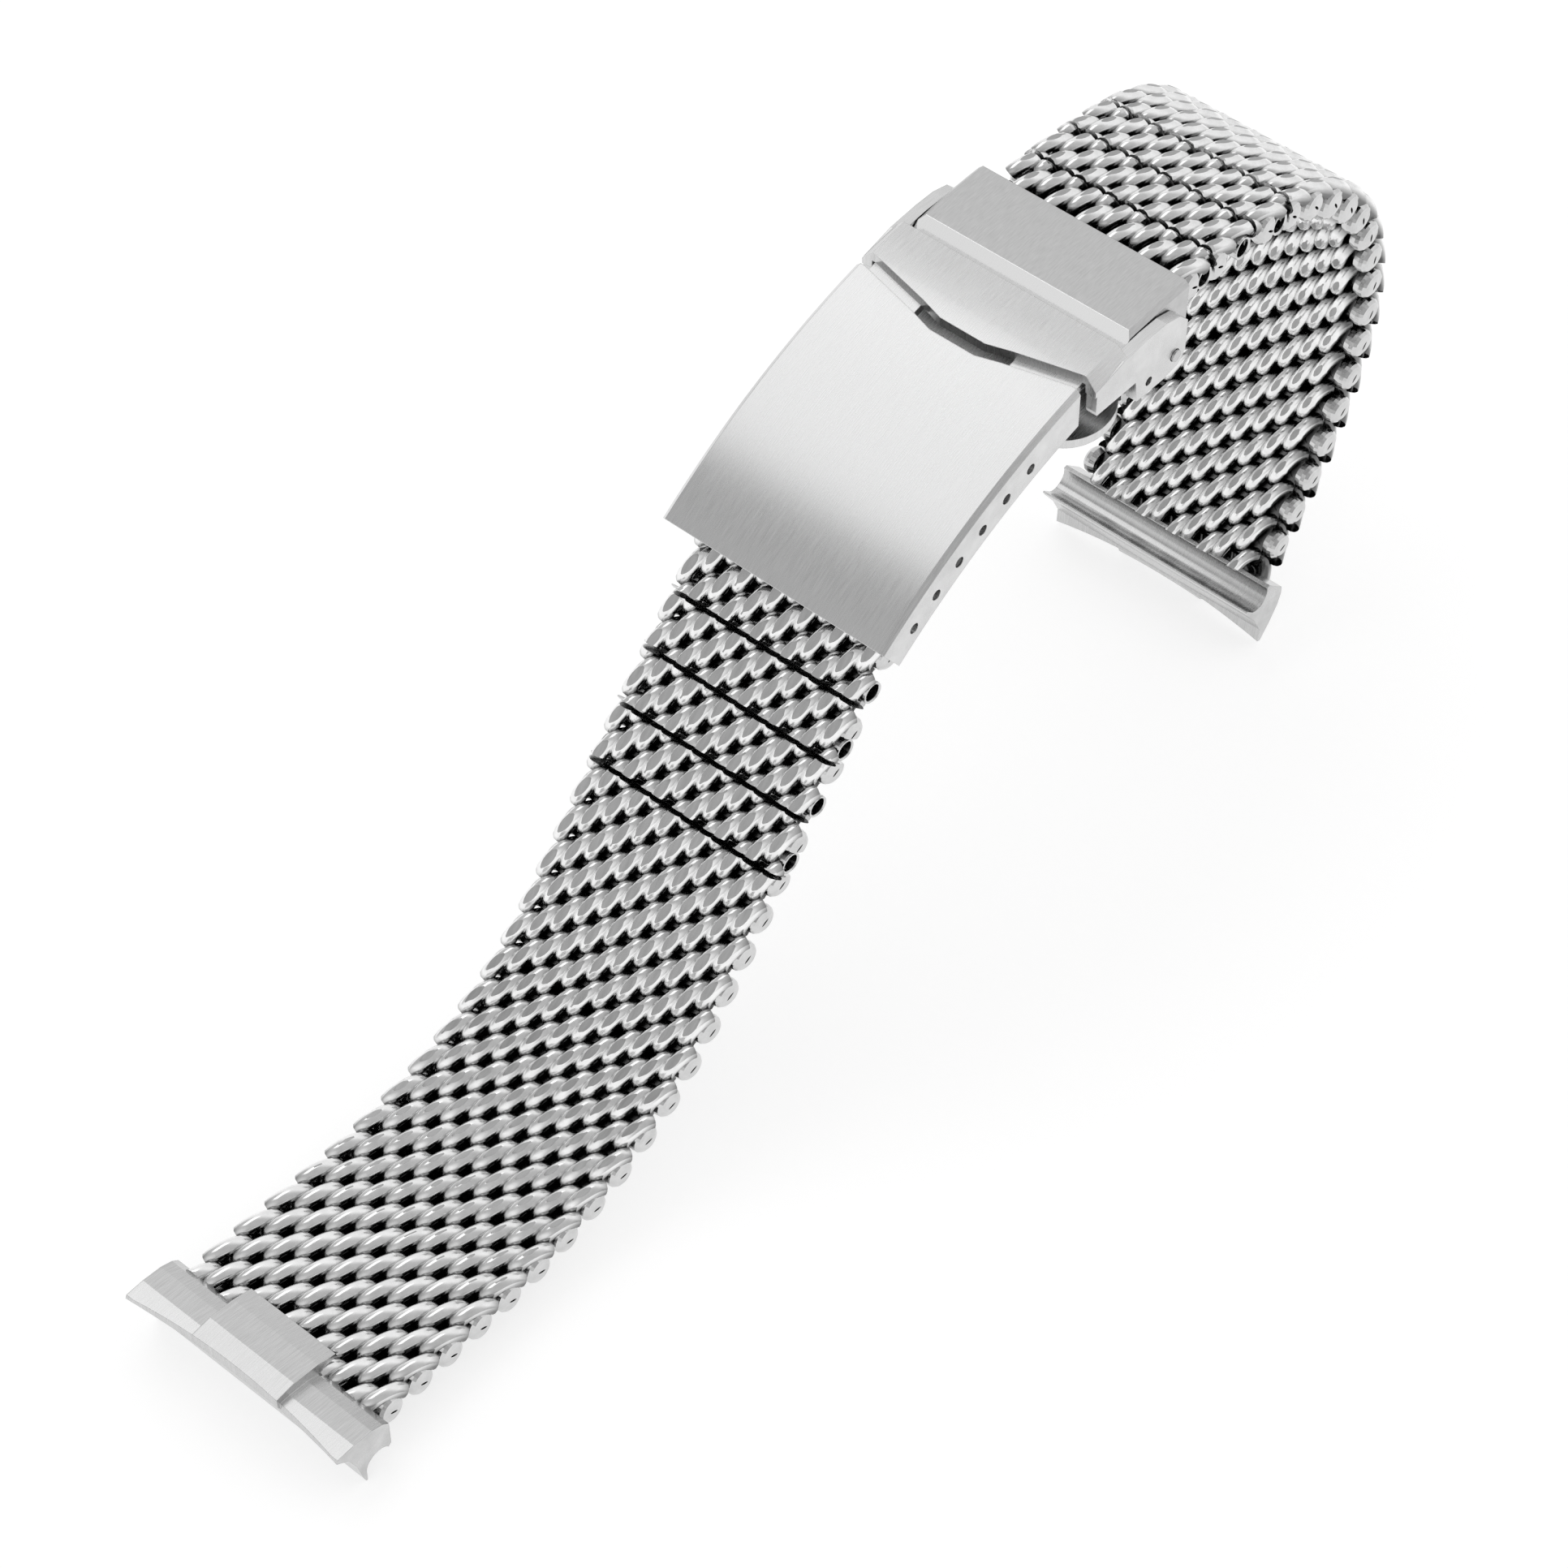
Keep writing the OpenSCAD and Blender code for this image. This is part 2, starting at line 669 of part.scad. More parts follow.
module strap_piece(strap, piece, last = false, far_rod = true) {
    mesh(strap, first_of(strap, piece),
         last ? rows_of(strap) : first_of(strap, piece + 1), true, !last, far_rod);
}

clasp_cover();
inner_blade();
outer_blade();
end_block();
safety_catch();
cover_hinge_pin();
blade_hinge_pin();
catch_pivot_pins();
latch_stud();
adjuster_tube();
adjuster_tip(-1);  // adjuster_tip_left
adjuster_tip(1);  // adjuster_tip_right
rear_strap_bar();
color(steel) end_mesh("front", 3, bar_r + run);  // front_end_mesh
color(steel) strap_piece("front", 0, false, false);  // front_link_1
color(steel) strap_piece("front", 1, false, false);  // front_link_2
color(steel) strap_piece("front", 2, false, false);  // front_link_3
color(steel) strap_piece("front", 3);  // front_mesh_3
color(steel) strap_piece("front", 4);  // front_mesh_2
color(steel) strap_piece("front", 5, true);  // front_mesh_1
color(steel) end_link("front");  // front_end_link
color(dark_steel) link_pin("front", first_of("front", 0));  // front_pin_1
color(dark_steel) link_pin("front", first_of("front", 1));  // front_pin_2
color(dark_steel) link_pin("front", first_of("front", 2));  // front_pin_3
color(dark_steel) link_pin("front", first_of("front", 3));  // front_pin_4
color(steel) end_mesh("rear", 3, bar_r + run);  // rear_end_mesh
color(steel) strap_piece("rear", 0, false, false);  // rear_link_1
color(steel) strap_piece("rear", 1, false, false);  // rear_link_2
color(steel) strap_piece("rear", 2);  // rear_mesh_1
color(steel) strap_piece("rear", 3);  // rear_mesh_2
color(steel) strap_piece("rear", 4, true);  // rear_mesh_3
color(steel) end_link("rear");  // rear_end_link
color(dark_steel) link_pin("rear", first_of("rear", 0));  // rear_pin_1
color(dark_steel) link_pin("rear", first_of("rear", 1));  // rear_pin_2
color(dark_steel) link_pin("rear", first_of("rear", 2));  // rear_pin_3
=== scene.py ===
"""Looks of the mesh watch band: woven wire, brushed clasp, studio floor, lights and camera."""

from math import cos, pi, radians, sin, tan

import bpy
import numpy as np
from mathutils import Matrix, Vector


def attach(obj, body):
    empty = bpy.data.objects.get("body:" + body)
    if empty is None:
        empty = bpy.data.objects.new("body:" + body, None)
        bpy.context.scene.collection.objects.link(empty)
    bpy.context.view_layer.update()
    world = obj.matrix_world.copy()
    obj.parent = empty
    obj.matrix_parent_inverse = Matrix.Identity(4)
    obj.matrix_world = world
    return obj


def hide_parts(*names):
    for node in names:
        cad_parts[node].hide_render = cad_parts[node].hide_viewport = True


MM = 0.001

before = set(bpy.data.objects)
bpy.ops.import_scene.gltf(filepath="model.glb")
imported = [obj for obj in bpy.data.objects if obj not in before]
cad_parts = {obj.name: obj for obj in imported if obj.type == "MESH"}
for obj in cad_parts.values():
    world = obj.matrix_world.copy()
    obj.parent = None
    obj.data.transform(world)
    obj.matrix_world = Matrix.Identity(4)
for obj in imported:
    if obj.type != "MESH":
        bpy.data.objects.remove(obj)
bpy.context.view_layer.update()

# The straps' middle lines, as in the CAD source, in millimetres and degrees
COIL_STEP = 1.62
TURNS = 6
MESH_HALF = 1.95
WIDTH_AT_CLASP = 18.4
WIDENS_BY = 1.6
CLASP_Y = 32.55
CLASP_R = 60.0
FIRST_HOLE = -33.1
HOLE_STEP = 2.93
BAR_HOLE = 2
HOLE_DROP = 2.2
REAR_BAR_DROP = 3.15
REAR_BAR_AT = -2.13
LINK_DROP = 3.15
FRONT_ANGLE = 49.5
REAR_ANGLE = -1.4
FRONT_ARCS = [(25.14, 0), (2.4, -2.5), (13.46, 3), (14, 29), (14, 22), (12, -2)]
REAR_ARCS = [(8.1, -1), (9.72, -10), (9, -29), (10, -32), (13, -34), (13, -20), (6.84, -4)]
FRONT_ROWS = 50
REAR_ROWS = 43

# How far the table of places along a strap goes past its two ends, and its step
MARKS_BEFORE = 6
MARKS_AFTER = 8
MARK_STEP = 0.05


def polar(radius, angle):
    """A place on the clasp, from its centre: angles go from straight up towards the rear."""
    return radius * sin(radians(angle)), radius * cos(radians(angle))


def step_along(place, length, turn):
    """Moves a place (y, z, angle) along one arc."""
    y, z, angle = place
    if abs(turn) < 0.001:
        return (
            y + length * cos(radians(angle)),
            z + length * sin(radians(angle)),
            angle,
        )
    radius = length * 180 / (pi * turn)
    after = angle + turn
    return (
        y + radius * (sin(radians(after)) - sin(radians(angle))),
        z - radius * (cos(radians(after)) - cos(radians(angle))),
        after,
    )


def walk(place, arcs, length, way):
    """The place at a length along the arcs. way is 1 forwards and -1 backwards."""
    if length < 0:
        return step_along(place, way * length, 0)
    for arc_length, turn in arcs:
        if length <= arc_length:
            return step_along(place, way * length, way * turn * length / arc_length)
        place = step_along(place, way * arc_length, way * turn)
        length -= arc_length
    return step_along(place, way * length, 0)


FRONT_BAR = polar(CLASP_R - HOLE_DROP, FIRST_HOLE + BAR_HOLE * HOLE_STEP)
REAR_BAR = polar(CLASP_R - REAR_BAR_DROP, REAR_BAR_AT)
FOOT = walk((FRONT_BAR[0], FRONT_BAR[1], FRONT_ANGLE), FRONT_ARCS, FRONT_ROWS * COIL_STEP, -1)
CLASP_Z = LINK_DROP - FOOT[1]


class Strap:
    """One strap: where a length along it lies, and how wide its mesh is there."""

    def __init__(self, start, arcs, rows, way):
        self.way = way
        self.length = rows * COIL_STEP
        self.marks = np.arange(-MARKS_BEFORE, self.length + MARKS_AFTER, MARK_STEP)
        places = [walk(start, arcs, s, way) for s in self.marks]
        self.y, self.z, self.angle = np.array(places).T

    def width(self, s):
        return WIDTH_AT_CLASP + WIDENS_BY * s / self.length

    def place(self, points):
        """Turns (x, s, height) rows into metres on the strap."""
        x, s, height = points.T
        angle = np.radians(np.interp(s, self.marks, self.angle))
        y = np.interp(s, self.marks, self.y) - height * np.sin(angle)
        z = np.interp(s, self.marks, self.z) + height * np.cos(angle)
        return np.stack([x, y, z], axis=1) * MM

    def turn(self, normals, s):
        """Turns (x, forwards, outwards) directions at lengths s into world directions."""
        angle = np.radians(np.interp(s, self.marks, self.angle))
        x, ahead, out = normals.T
        y = ahead * np.cos(angle) - out * np.sin(angle)
        z = ahead * np.sin(angle) + out * np.cos(angle)
        return np.stack([x, y, z], axis=1)


FRONT = Strap(
    (FRONT_BAR[0] + CLASP_Y, FRONT_BAR[1] + CLASP_Z, FRONT_ANGLE), FRONT_ARCS, FRONT_ROWS, -1
)
REAR = Strap((REAR_BAR[0] + CLASP_Y, REAR_BAR[1] + CLASP_Z, REAR_ANGLE), REAR_ARCS, REAR_ROWS, 1)


# Materials
GRAIN_RELIEF = 0.00002
EDGE_ROUNDING = 0.00009
MIX_SOCKETS = {"FLOAT": (2, 3, 0), "RGBA": (6, 7, 2)}


def material(name):
    mat = bpy.data.materials.new(name)
    mat.use_nodes = True
    tree = mat.node_tree
    shader = tree.nodes["Principled BSDF"]
    return mat, tree, shader


def node(tree, kind, **settings):
    made = tree.nodes.new(kind)
    for key, value in settings.items():
        if key in made.inputs:
            made.inputs[key].default_value = value
        else:
            setattr(made, key, value)
    return made


def mix_node(tree, kind, **settings):
    """A mix node, with its factor, its two inputs and its output for this kind of data."""
    made = node(tree, "ShaderNodeMix", data_type=kind, **settings)
    before, after, result = MIX_SOCKETS[kind]
    return made.inputs[0], made.inputs[before], made.inputs[after], made.outputs[result]


def ramp(tree, source, stops):
    """A colour ramp of grey levels over source."""
    made = tree.nodes.new("ShaderNodeValToRGB")
    elements = made.color_ramp.elements
    while len(elements) < len(stops):
        elements.new(0.5)
    for element, (at, level) in zip(elements, stops):
        element.position = at
        element.color = (level, level, level, 1)
    tree.links.new(source, made.inputs["Fac"])
    return made.outputs["Color"]


def streaks(tree, scale, seed=0.0):
    """Noise drawn out along one axis of the object: scale is per metre on each axis."""
    coords = node(tree, "ShaderNodeTexCoord")
    stretch = node(tree, "ShaderNodeMapping")
    stretch.inputs["Scale"].default_value = scale
    stretch.inputs["Location"].default_value = (seed, seed, seed)
    tree.links.new(coords.outputs["Object"], stretch.inputs["Vector"])
    noise = node(tree, "ShaderNodeTexNoise", Scale=1.0, Detail=4.0, Roughness=0.6)
    tree.links.new(stretch.outputs["Vector"], noise.inputs["Vector"])
    return noise.outputs["Fac"]


def vary_gloss(tree, shader, source, low, high):
    """Lets the roughness follow source, from low to high."""
    gloss = node(tree, "ShaderNodeMapRange")
    gloss.inputs["To Min"].default_value = low
    gloss.inputs["To Max"].default_value = high
    tree.links.new(source, gloss.inputs["Value"])
    tree.links.new(gloss.outputs["Result"], shader.inputs["Roughness"])


def brushed(name, scale, low, high, rough, spread=0.0):
    """Steel brushed along the axis with the smallest scale. spread widens gloss across it."""
    mat, tree, shader = material(name)
    grain = streaks(tree, scale)
    tone = ramp(tree, grain, [(0.3, low), (0.7, high)])
    tree.links.new(tone, shader.inputs["Base Color"])
    shader.inputs["Metallic"].default_value = 1
    vary_gloss(tree, shader, grain, rough - 0.06, rough + 0.1)
    relief = node(tree, "ShaderNodeBump", Strength=0.15, Distance=GRAIN_RELIEF)
    edges = node(tree, "ShaderNodeBevel", samples=6, Radius=EDGE_ROUNDING)
    tree.links.new(edges.outputs["Normal"], relief.inputs["Normal"])
    tree.links.new(grain, relief.inputs["Height"])
    tree.links.new(relief.outputs["Normal"], shader.inputs["Normal"])
    if spread:
        shader.inputs["Anisotropic"].default_value = spread
        shader.inputs["Anisotropic Rotation"].default_value = 0.25
        along = node(tree, "ShaderNodeTangent", direction_type="RADIAL", axis="X")
        tree.links.new(along.outputs["Tangent"], shader.inputs["Tangent"])
    return mat


def polish_front(mat):
    """Polishes the faces that look towards the front, such as a bevel."""
    tree = mat.node_tree
    shader = tree.nodes["Principled BSDF"]
    coords = node(tree, "ShaderNodeTexCoord")
    split = node(tree, "ShaderNodeSeparateXYZ")
    tree.links.new(coords.outputs["Normal"], split.inputs[0])
    front = node(tree, "ShaderNodeMapRange")
    front.inputs["From Min"].default_value = -0.2
    front.inputs["From Max"].default_value = -0.5
    tree.links.new(split.outputs["Y"], front.inputs["Value"])
    for socket, kind, polished in (
        ("Base Color", "RGBA", (0.93, 0.93, 0.93, 1)),
        ("Roughness", "FLOAT", 0.1),
    ):
        was = shader.inputs[socket].links[0].from_socket
        factor, before, after, result = mix_node(tree, kind)
        tree.links.new(front.outputs["Result"], factor)
        tree.links.new(was, before)
        after.default_value = polished
        tree.links.new(result, shader.inputs[socket])


def wire_material(name, low, high, rough):
    """Drawn wire: bright on its crowns, and painted darker with depth down inside the weave, as
    painted shade.
    """
    mat, tree, shader = material(name)
    painted_shade_depth = node(tree, "ShaderNodeAttribute", attribute_name="painted_shade_depth")
    # Painted shade: the colour falls from full on the crowns to near black deep in the weave.
    levels = [(0.14, 1.0), (0.28, 0.62), (0.46, 0.26), (0.9, 0.12)]
    shade = ramp(tree, painted_shade_depth.outputs["Fac"], levels)
    spots = streaks(tree, (900, 900, 900), 3.0)
    tone = ramp(tree, spots, [(0.35, low), (0.65, high)])
    factor, before, after, result = mix_node(tree, "RGBA", blend_type="MULTIPLY")
    factor.default_value = 1
    tree.links.new(tone, before)
    tree.links.new(shade, after)
    tree.links.new(result, shader.inputs["Base Color"])
    shader.inputs["Metallic"].default_value = 1
    vary_gloss(tree, shader, spots, rough - 0.05, rough + 0.08)
    return mat


# The wire's steel gets a tone well above the clasp's: painted light, standing in for more light
# on its crowns.
WIRE = wire_material("drawn_wire", 0.82, 0.93, 0.17)
LAPPED = brushed("lapped_crown", (2500, 400, 400), 0.36, 0.46, 0.42)
CASE = brushed("brushed_lengthwise", (14000, 500, 500), 0.62, 0.74, 0.26, spread=0.7)
SATIN = brushed("satin_block", (9000, 900, 900), 0.5, 0.6, 0.34)
LINK = brushed("brushed_link", (14000, 500, 500), 0.52, 0.66, 0.24, spread=0.7)
# Steel painted near black: painted shade on the adjuster tips.
SHADED = brushed("shaded_steel", (900, 9000, 9000), 0.08, 0.12, 0.45)
polish_front(SATIN)
PLAIN = brushed("turned_steel", (900, 9000, 9000), 0.5, 0.6, 0.25)


# Woven wire: radius, reach of a coil along the strap, and how round its turns are
WIRE_R = 0.63
AHEAD = 1.66
CROWN_POWER = 0.62

# Points round the wire, points of them on a ground crown, and rings in each turn
RING = 16
RING_FLAT = 5
PER_TURN = 36

# Degrees that a coil goes on past its last crown, at the edge it reaches and at the other
AT_EDGE = 62
SHORT_OF_EDGE = 100

# The ground crowns: least half angle of the flat points, and the angle that counts as ground
LEAST_SPREAD = 6
GROUND_FROM = 0.05

# Depth ground off the crowns, at lengths along the front strap, and all along the rear strap
LAP_LENGTHS = [30, 44, 60, 70]
LAP_DEPTHS = [0.13, 0.11, 0.05, 0.0]
REAR_LAP = 0.06

# Half a slit's width in the middle, degrees that its walls lean, and wire past the last coil
SLIT = 0.04
SLIT_LEAN = 5.0
WELD = 1.2

# Coil ends and pin holes: points round them, the painted shade of their outsides, and a hole's
# two places
EDGE_RING = 24
EDGE_PAINTED_SHADE = 0.24
HOLE_BACK = 1.05
HOLE_REACH = 1.95

# Each ring is (distance inside the edge, half length along the strap, half height, lean)
LOBE_RINGS = [
    (1.3, 1.1, 1.3, 0),
    (0.75, 1.28, 1.45, 0),
    (0.4, 1.22, 1.38, 0),
    (0.16, 1.02, 1.18, 0),
    (0.04, 0.76, 0.9, 0),
    (0.0, 0.42, 0.3, 0.7),
    (0.02, 0.36, 0.2, 0.9),
    (0.3, 0.3, 0.14, 0.9),
    (0.3, 0.01, 0.01, 0.9),
]
HOLE_RINGS = [
    (1.6, 0.9, 1.0, 0),
    (0.3, 0.95, 1.05, 0),
    (0.14, 0.92, 1.0, 0),
    (0.1, 0.84, 0.92, 0),
    (0.16, 0.75, 0.82, 0),
    (0.22, 0.72, 0.78, 0),
    (1.3, 0.68, 0.8, 0),
    (1.3, 0.01, 0.01, 0),
]

# The band in the middle of the weave: (distance inside the edges, half height), and its ends
BAND = (1.25, 0.5)
TAIL = (0.7, 0.75)
BAND_STEP = 0.8
BAND_BACK = 0.3
TAIL_LAP = 0.4

# Lengths that lie before and after every strap, for an end that isn't cut
BEFORE_ALL = -99
AFTER_ALL = 999


def lap_depth(strap, s):
    """How far the crowns are ground flat, at a length along the strap."""
    if strap is FRONT:
        return float(np.interp(s, LAP_LENGTHS, LAP_DEPTHS))
    return REAR_LAP


def coil_side(row):
    """The edge that a coil reaches: -1 or 1 across the band, in turns."""
    return -1 if row % 2 == 0 else 1


def crown_start(strap, row, s):
    """The pitch of a coil, and the x of its first outer crown."""
    pitch = strap.width(s) / (TURNS + 0.1)
    return pitch, -(TURNS - 1) / 2 * pitch + coil_side(row) * pitch / 4


class Pile:
    """Vertices, normals and faces of one object, gathered piece by piece."""

    def __init__(self):
        self.points = []
        self.painted_shade_depth = []
        self.faces = []
        self.normals = []
        self.slots = []
        self.count = 0

    def add(self, points, painted_shade_depth, faces, normals, slots):
        self.points.append(points)
        self.painted_shade_depth.append(painted_shade_depth)
        self.faces.append(faces + self.count)
        self.normals.append(normals)
        self.slots.append(slots)
        self.count += len(points)

    def add_flat(self, points, painted_shade_depth, faces, flip):
        """Adds faces of the first material with their own normals, turned over if flip."""
        normals = np.repeat(face_normals(points, faces)[:, None, :], 4, axis=1)
        if flip:
            faces = faces[:, ::-1]
            normals = -normals[:, ::-1]
        self.add(points, painted_shade_depth, faces, normals, np.zeros(len(faces), np.int32))

    def build(self, name, materials):
        points = np.concatenate(self.points)
        faces = np.concatenate(self.faces)
        mesh = bpy.data.meshes.new(name)
        mesh.vertices.add(len(points))
        mesh.vertices.foreach_set("co", points.ravel())
        mesh.loops.add(faces.size)
        mesh.loops.foreach_set("vertex_index", faces.ravel())
        mesh.polygons.add(len(faces))
        mesh.polygons.foreach_set("loop_start", np.arange(0, faces.size, 4))
        mesh.polygons.foreach_set("material_index", np.concatenate(self.slots))
        mesh.update(calc_edges=True)
        # The painted shade of each point, which the wire material reads.
        mesh.attributes.new("painted_shade_depth", "FLOAT", "POINT").data.foreach_set(
            "value", np.concatenate(self.painted_shade_depth)
        )
        mesh.shade_smooth()
        mesh.normals_split_custom_set(np.concatenate(self.normals).reshape(-1, 3))
        for mat in materials:
            mesh.materials.append(mat)
        made = bpy.data.objects.new(name, mesh)
        bpy.context.scene.collection.objects.link(made)
        return made


def tube_faces(rings, around):
    """Quads between neighbouring rings of a tube."""
    ring = np.arange(rings - 1)[:, None] * around
    a = np.arange(around)[None, :]
    b = (a + 1) % around
    quads = np.stack([ring + a, ring + b, ring + around + b, ring + around + a], axis=2)
    return quads.reshape(-1, 4)


def face_normals(points, faces):
    a, b, c, d = (points[faces[:, k]] for k in range(4))
    n = np.cross(c - a, d - b)
    return n / np.maximum(np.linalg.norm(n, axis=1, keepdims=True), 1e-12)


def trimmed(s, height, low, high):
    """Lengths s kept between low and high, which lean apart towards the faces for the bend."""
    lean = np.abs(height) * tan(radians(SLIT_LEAN))
    return np.clip(s, low + lean, high - lean)


def coil(pile, strap, row, low, high):
    """One coil of wire, kept between the lengths low and high along the strap."""
    s_mid = (row + 0.5) * COIL_STEP
    side = coil_side(row)
    pitch, first = crown_start(strap, row, s_mid)
    lap = lap_depth(strap, s_mid)
    rise = MESH_HALF + lap - WIRE_R
    begin = 90 - (AT_EDGE if side < 0 else SHORT_OF_EDGE)
    end = 90 + 360 * (TURNS - 1) + (AT_EDGE if side > 0 else SHORT_OF_EDGE)
    n = int((end - begin) / 360 * PER_TURN)
    t = np.radians(np.linspace(begin, end, n))
    height = rise * np.sign(np.sin(t)) * np.abs(np.sin(t)) ** CROWN_POWER
    centre = np.stack(
        [first + pitch * (t - pi / 2) / (2 * pi), -AHEAD * np.cos(t), height], axis=1
    )
    tangent = np.gradient(centre, axis=0)
    tangent /= np.linalg.norm(tangent, axis=1, keepdims=True)
    out = np.stack([np.zeros(n), -tangent[:, 2], tangent[:, 1]], axis=1)
    out /= np.linalg.norm(out, axis=1, keepdims=True)
    across = np.cross(tangent, out)

    # Where the wire goes past the face of the mesh, its points gather on a flat
    face = np.sign(np.sin(t))
    lean = np.arctan2(face * across[:, 2], face * out[:, 2])
    reach = WIRE_R * np.hypot(out[:, 2], across[:, 2])
    over = (MESH_HALF - face * centre[:, 2]) / reach
    flat = np.arccos(np.clip(over, -1, 1))
    spread = np.maximum(flat, radians(LEAST_SPREAD))

    k = np.arange(RING)
    on_flat = k < RING_FLAT
    inside = spread[:, None] * (2 * k[None, :] / (RING_FLAT - 1) - 1)
    rest = (k[None, :] - RING_FLAT + 1) / (RING - RING_FLAT + 1)
    outside = spread[:, None] + rest * (2 * pi - 2 * spread[:, None])
    angle = lean[:, None] + np.where(on_flat[None, :], inside, outside)
    normal = (
        np.cos(angle)[:, :, None] * out[:, None, :]
        + np.sin(angle)[:, :, None] * across[:, None, :]
    )
    local = centre[:, None, :] + WIRE_R * normal
    local[:, :, 2] = np.clip(local[:, :, 2], -MESH_HALF, MESH_HALF)
    local = local.reshape(-1, 3)
    normal = normal.reshape(-1, 3)

    s = s_mid + strap.way * local[:, 1]
    kept = trimmed(s, local[:, 2], low, high)
    cut = np.abs(kept - s) > 1e-6
    points = strap.place(np.stack([local[:, 0], kept, local[:, 2]], axis=1))
    turned = strap.turn(normal, kept)
    up = strap.turn(np.tile([0.0, 0.0, 1.0], (len(kept), 1)), kept)

    # Normals at the corners: round on the wire, upright on a flat, square on a slit's wall
    faces = tube_faces(n, RING)
    ring_of = np.repeat(np.arange(n - 1), RING)
    column = np.tile(np.arange(RING), n - 1)
    deepest = np.maximum(flat[ring_of], flat[ring_of + 1])
    ground = (column < RING_FLAT - 1) & (deepest > GROUND_FROM)
    corners = turned[faces]
    flat_corner = (flat[faces // RING] > GROUND_FROM) & ground[:, None]
    sign = face[faces // RING][:, :, None]
    corners = np.where(flat_corner[:, :, None], sign * up[faces], corners)
    at_cut = cut[faces].any(axis=1)
    corners[at_cut] = face_normals(points, faces)[at_cut][:, None, :]
    # Painted shade: the wire is painted darker the deeper it lies below the face of the mesh.
    painted_shade_depth = 1 - np.abs(local[:, 2]) / MESH_HALF
    pile.add(points, painted_shade_depth, faces, corners, ground.astype(np.int32))


def plate(pile, strap, s_mid, side, rings, low, high, deep):
    """Rings round the line across the edge at s_mid, from the inside out.

    The rings from number deep on, inside the slot or hole, are painted darkest as painted shade;
    the rings before them get the painted shade of the outsides.
    """
    edge = strap.width(s_mid) / 2
    turn = np.linspace(0, 2 * pi, EDGE_RING, endpoint=False)
    local = np.concatenate(
        [
            np.column_stack(
                [
                    np.full(EDGE_RING, side * (edge - inset)),
                    length * np.cos(turn + lean),
                    height * np.sin(turn),
                ]
            )
            for inset, length, height, lean in rings
        ]
    )
    s = s_mid + strap.way * local[:, 1]
    kept = trimmed(s, local[:, 2], low, high)
    points = strap.place(np.stack([local[:, 0], kept, local[:, 2]], axis=1))
    # Painted shade: a mid shade on the outer rings, and the darkest on the rings from deep on,
    # down in the slot or hole.
    painted_shade_depth = np.where(np.arange(len(points)) >= EDGE_RING * deep, 1.0, EDGE_PAINTED_SHADE)

    # A face on the outside of the rim looks away from the middle of the strap
    faces = tube_faces(len(rings), EDGE_RING)
    rim = face_normals(points, faces)[EDGE_RING * 3]
    pile.add_flat(points, painted_shade_depth, faces, (rim[0] < 0) == (side > 0))


def edge_lobe(pile, strap, row, low, high):
    """The rounded, welded end of a coil at the edge that its wire reaches."""
    plate(pile, strap, (row + 0.5) * COIL_STEP, coil_side(row), LOBE_RINGS, low, high, 7)


def pin_hole(pile, strap, row, side, low, high):
    """The open tube beside a slit, where a link pin is pushed in."""
    plate(pile, strap, row * COIL_STEP - HOLE_BACK, side, HOLE_RINGS, low, high, 6)


def inner_band(pile, strap, low, high, half_width, half_height):
    """The crossing wires in the middle of the weave, which let no light through, as a band
    painted darkest: painted shade.
    """
    stops = np.linspace(low, high, max(3, int((high - low) / BAND_STEP)))
    ring = np.array([(-1, 1), (1, 1), (1, -1), (-1, -1)]) * (half_width, half_height)
    local = np.concatenate(
        [np.column_stack([ring[:, 0], np.full(4, s), ring[:, 1]]) for s in stops]
    )
    points = strap.place(local)
    last = 4 * (len(stops) - 1)
    caps = np.array([[0, 1, 2, 3], [last + 3, last + 2, last + 1, last]])
    faces = np.concatenate([tube_faces(len(stops), 4), caps])
    # Painted shade: the band is painted as dark as the deepest wire.
    pile.add_flat(points, np.ones(len(points)), faces, strap.way < 0)


def woven(name, strap, body, row0, row1, near, far):
    """The wire of one piece of mesh, between the coils row0 and row1.

    near and far say what each end is: "slit" where a link comes apart from the next,
    "tail" inside the clasp, "weld" against the end link and "woven" inside the mesh.
    """
    low = row0 * COIL_STEP + SLIT if near == "slit" else BEFORE_ALL
    high = row1 * COIL_STEP - SLIT if far == "slit" else AFTER_ALL
    if far == "weld":
        high = row1 * COIL_STEP + WELD
    pile = Pile()
    for row in range(row0 - (near == "slit"), row1 + (far != "woven")):
        coil(pile, strap, row, low, high)
        holed = far == "slit" and row == row1 - 1
        if row0 <= row < row1 and not holed:
            before_hole = far == "slit" and row == row1 - 2
            edge_lobe(pile, strap, row, low, high - HOLE_REACH if before_hole else high)
    if far == "slit":
        pin_hole(pile, strap, row1, 1, low, high)
        pin_hole(pile, strap, row1, -1, low, high)
    half = strap.width(row0 * COIL_STEP) / 2
    begin = row0 * COIL_STEP + (BAND_BACK if near == "slit" else 0)
    end = row1 * COIL_STEP - (BAND_BACK if far == "slit" else 0)
    inner_band(pile, strap, begin, end, half - BAND[0], BAND[1])
    if near == "tail":
        inner_band(pile, strap, 0, row0 * COIL_STEP + TAIL_LAP, half - TAIL[0], TAIL[1])
    made = pile.build(name + "_wire", [WIRE, LAPPED])
    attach(made, body)
    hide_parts(name)


